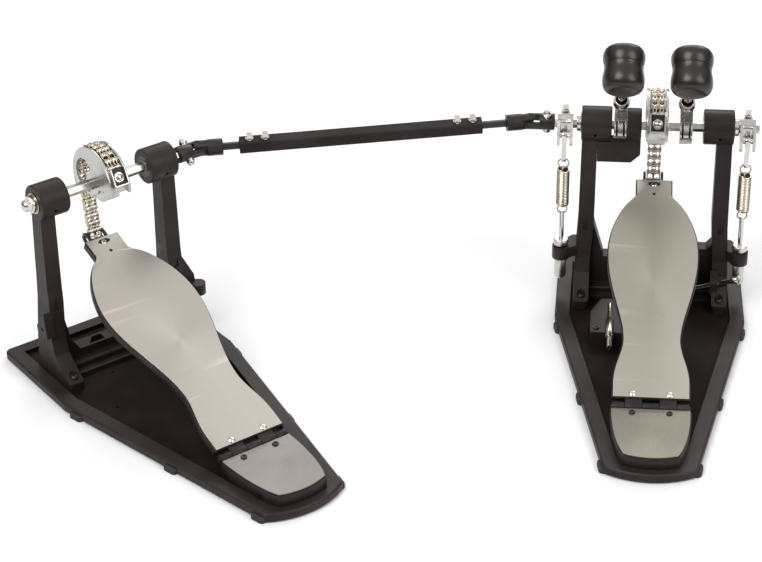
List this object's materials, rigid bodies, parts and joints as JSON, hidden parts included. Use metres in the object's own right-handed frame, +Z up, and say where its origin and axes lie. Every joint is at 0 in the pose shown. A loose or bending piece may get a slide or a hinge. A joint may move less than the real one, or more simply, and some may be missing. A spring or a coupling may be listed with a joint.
{
  "type": "bass drum pedal",
  "caption": "Twin bass drum pedal: sprung chain-drive main pedal with its beaters, joined by a universal-joint drive shaft to a slave pedal.",
  "frame": {"origin": "on the floor under the middle of the main pedal's axle", "axes": "+X along the main axle to the player's right, +Y towards the drum, +Z up"},
  "size_m": [0.7563, 0.5187, 0.3186],
  "materials": {
    "black_paint": "satin black powder coat",
    "rubber": "matt black rubber",
    "board_steel": "fine brushed stainless steel",
    "chrome": "polished chrome plate",
    "satin_steel": "satin machined steel",
    "cam_metal": "satin cast aluminium",
    "chain_steel": "polished chain steel, faintly brass tinted",
    "bearing_steel": "ground bearing steel",
    "spring_steel": "drawn spring wire, beige gold",
    "head_plastic": "high gloss black plastic",
    "black_steel": "black oxide steel",
    "key_metal": "plated key"
  },
  "bodies": {
    "stand": {"main_base": "black_paint", "slave_base": "black_paint", "mats_and_feet": "rubber", "main_left_post": "black_paint", "main_right_post": "black_paint", "slave_left_post": "black_paint", "slave_right_post": "black_paint", "main_bridge": "black_paint", "slave_bridge": "black_paint", "inner_bracket": "black_paint", "bearings": "bearing_steel", "main_heel_plate": "board_steel", "slave_heel_plate": "board_steel", "heel_frames": "black_paint", "base_screws": "black_steel", "hinge_pins": "black_steel", "spring_rods": "chrome", "spring_nuts": "satin_steel", "clamp_base": "black_paint", "key_holder": "black_paint"},
    "main_axle": {"main_axle": "satin_steel", "main_cam": "cam_metal", "main_chain_anchor": "chrome", "main_chain_wrap": "chain_steel", "right_rocker": "chrome", "right_beater_hub": "chrome"},
    "main_chain": {"main_chain_run": "chain_steel"},
    "main_board": {"main_footboard": "board_steel", "main_footboard_frame": "black_paint", "main_toe_clamp": "black_steel"},
    "right_beater": {"right_beater_shaft": "chrome", "right_beater_head": "head_plastic"},
    "right_spring_link": {"right_spring_link": "chrome", "right_spring": "spring_steel"},
    "slave_axle": {"slave_axle": "satin_steel", "slave_cam": "cam_metal", "slave_chain_anchor": "chrome", "slave_chain_wrap": "chain_steel", "slave_axle_yoke": "black_steel"},
    "slave_chain": {"slave_chain_run": "chain_steel"},
    "slave_board": {"slave_footboard": "board_steel", "slave_footboard_frame": "black_paint", "slave_toe_clamp": "black_steel"},
    "slave_cross": {"slave_cross": "black_steel"},
    "drive_shaft": {"drive_tube": "black_steel", "drive_rods": "black_steel", "drive_yokes": "black_steel", "drive_bolts": "chrome"},
    "main_cross": {"main_cross": "black_steel"},
    "left_axle": {"left_axle": "satin_steel", "left_axle_yoke": "black_steel", "left_rocker": "chrome", "left_beater_hub": "chrome"},
    "left_beater": {"left_beater_shaft": "chrome", "left_beater_head": "head_plastic"},
    "left_spring_link": {"left_spring_link": "chrome", "left_spring": "spring_steel"},
    "clamp_bolt": {"clamp_bolt": "chrome"},
    "clamp_jaw": {"clamp_jaw": "black_steel"},
    "drum_key": {"drum_key": "key_metal"}
  },
  "joints": [
    {"name": "main_axle_turn", "type": "hinge", "parent": "stand", "child": "main_axle", "pos_m": [0, 0, 0.2], "axis": [-1, 0, 0], "range_deg": [-5, 45], "stiffness_Nm_per_rad": 1.5},
    {"name": "main_chain_bend", "type": "hinge", "parent": "main_axle", "child": "main_chain", "pos_m": [0, 0.03301, 0.21334], "axis": [-1, 0, 0], "range_deg": [-50, 6]},
    {"name": "main_board_hinge", "type": "hinge", "parent": "stand", "child": "main_board", "pos_m": [0, -0.2525, 0.021], "axis": [-1, 0, 0], "range_deg": [-0.7, 5.8]},
    {"name": "right_beater_height", "type": "slide", "parent": "main_axle", "child": "right_beater", "axis": [0, -0.6947, 0.7193], "range_m": [-0.015, 0.015]},
    {"name": "right_spring_stretch", "type": "slide", "parent": "stand", "child": "right_spring_link", "axis": [0, 0, 1], "range_m": [-0.0017, 0.0139], "deforming": ["right_spring"]},
    {"name": "slave_axle_turn", "type": "hinge", "parent": "stand", "child": "slave_axle", "pos_m": [-0.544, -0.1588, 0.2], "axis": [-0.7461, -0.6659, 0], "range_deg": [-5, 41.5], "stiffness_Nm_per_rad": 1.5},
    {"name": "slave_chain_bend", "type": "hinge", "parent": "slave_axle", "child": "slave_chain", "pos_m": [-0.56598, -0.13417, 0.21334], "axis": [-0.7461, -0.6659, 0], "range_deg": [-46, 6]},
    {"name": "slave_board_hinge", "type": "hinge", "parent": "stand", "child": "slave_board", "pos_m": [-0.37587, -0.34718, 0.021], "axis": [-0.7461, -0.6659, 0], "range_deg": [-0.7, 5.4]},
    {"name": "slave_cross_turn", "type": "hinge", "parent": "slave_axle", "child": "slave_cross", "pos_m": [-0.46119, -0.08489, 0.2], "axis": [-0.6257, 0.7011, 0.342], "range_deg": [-2.6, 21]},
    {"name": "drive_shaft_turn", "type": "hinge", "parent": "stand", "child": "drive_shaft", "pos_m": [-0.46119, -0.08489, 0.2], "axis": [-0.9687, -0.2483, 0], "range_deg": [-5.7, 46.4]},
    {"name": "left_axle_turn", "type": "hinge", "parent": "stand", "child": "left_axle", "pos_m": [0, 0, 0.2], "axis": [-1, 0, 0], "range_deg": [-5.5, 45]},
    {"name": "main_cross_turn", "type": "hinge", "parent": "left_axle", "child": "main_cross", "pos_m": [-0.13, 0, 0.2], "axis": [0, -0.9294, -0.369], "range_deg": [-1.5, 11.4]},
    {"name": "left_beater_height", "type": "slide", "parent": "left_axle", "child": "left_beater", "axis": [0, -0.6947, 0.7193], "range_m": [-0.015, 0.015]},
    {"name": "left_spring_stretch", "type": "slide", "parent": "stand", "child": "left_spring_link", "axis": [0, 0, 1], "range_m": [-0.0018, 0.0139], "deforming": ["left_spring"]},
    {"name": "clamp_bolt_turn", "type": "hinge", "parent": "stand", "child": "clamp_bolt", "pos_m": [0.05, -0.028, 0.0256], "axis": [0.9588, 0, 0.284], "range_deg": [0, 1080]},
    {"name": "clamp_jaw_swing", "type": "hinge", "parent": "stand", "child": "clamp_jaw", "pos_m": [0, 0.038, 0.031], "axis": [-1, 0, 0], "range_deg": [0, 15.1]},
    {"name": "drum_key_lift", "type": "slide", "parent": "stand", "child": "drum_key", "axis": [0, 0, 1], "range_m": [0, 0.018]}
  ],
  "couplings": [
    {"joint": "main_chain_bend", "follows": "main_axle_turn", "ratio": -1.1005},
    {"joint": "main_board_hinge", "follows": "main_axle_turn", "ratio": 0.1271},
    {"joint": "right_spring_stretch", "follows": "main_axle_turn", "m_per_rad": 0.01748},
    {"joint": "slave_chain_bend", "follows": "slave_axle_turn", "ratio": -1.1005},
    {"joint": "slave_board_hinge", "follows": "slave_axle_turn", "ratio": 0.1271},
    {"joint": "slave_cross_turn", "follows": "slave_axle_turn", "ratio": 0.5008},
    {"joint": "drive_shaft_turn", "follows": "slave_axle_turn", "ratio": 1.1134},
    {"joint": "left_axle_turn", "follows": "slave_axle_turn", "ratio": 1.0821},
    {"joint": "main_cross_turn", "follows": "slave_axle_turn", "ratio": 0.2694},
    {"joint": "left_spring_stretch", "follows": "slave_axle_turn", "m_per_rad": 0.018915},
    {"joint": "clamp_jaw_swing", "follows": "clamp_bolt_turn", "ratio": 0.013889}
  ]
}
